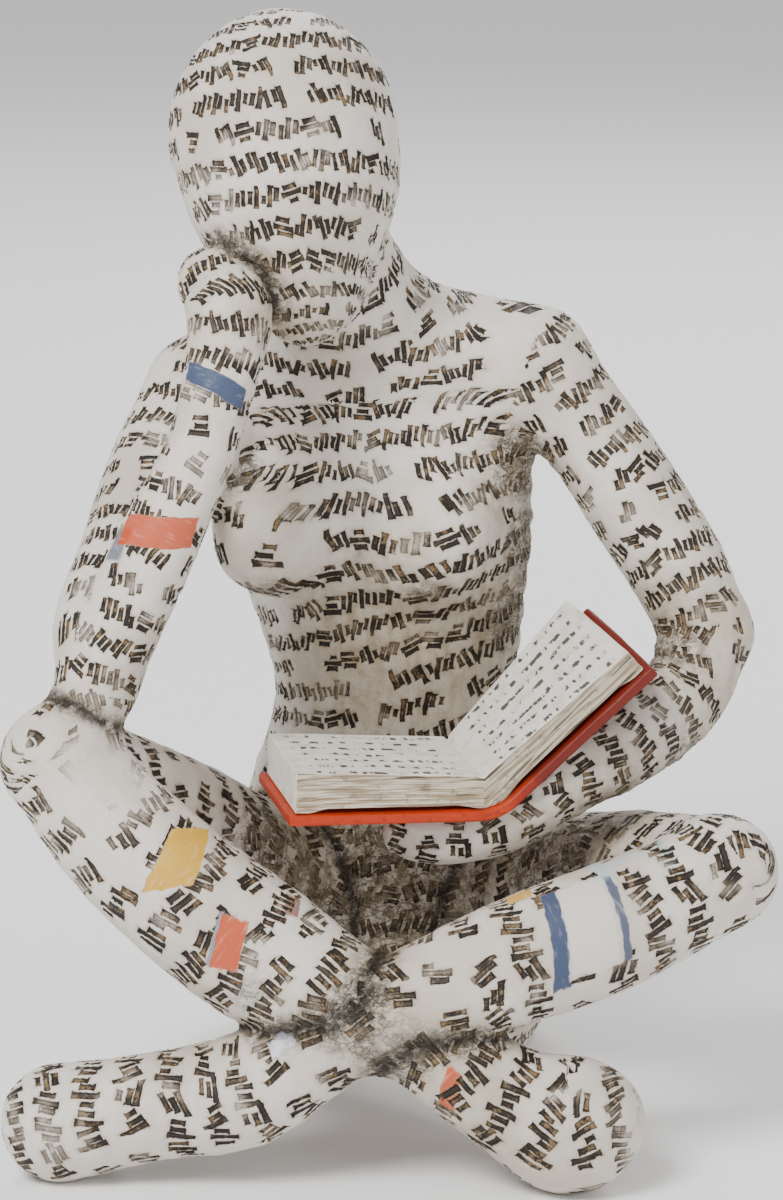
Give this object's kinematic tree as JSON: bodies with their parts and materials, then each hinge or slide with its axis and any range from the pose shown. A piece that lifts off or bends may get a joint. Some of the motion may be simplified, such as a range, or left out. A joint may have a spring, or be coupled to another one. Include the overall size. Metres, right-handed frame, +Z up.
{
  "type": "reading woman figurine",
  "caption": "Seated figure of a woman, legs crossed, cheek on one hand and an open book on the other, covered in rows of pressed marks.",
  "frame": {"origin": "on the surface she sits on, under the middle of the bounding box", "axes": "+Z up, she faces -Y, her right side is at -X"},
  "size_m": [0.1358, 0.1206, 0.2001],
  "materials": {
    "figure": "cast resin painted matt off-white, brown wash rubbed into the pressed marks and the rough hollows",
    "book": "cast resin, off-white leaves and a brick-red painted cover"
  },
  "bodies": {
    "root": {"reading_woman": "figure", "open_book": "book"}
  },
  "joints": []
}
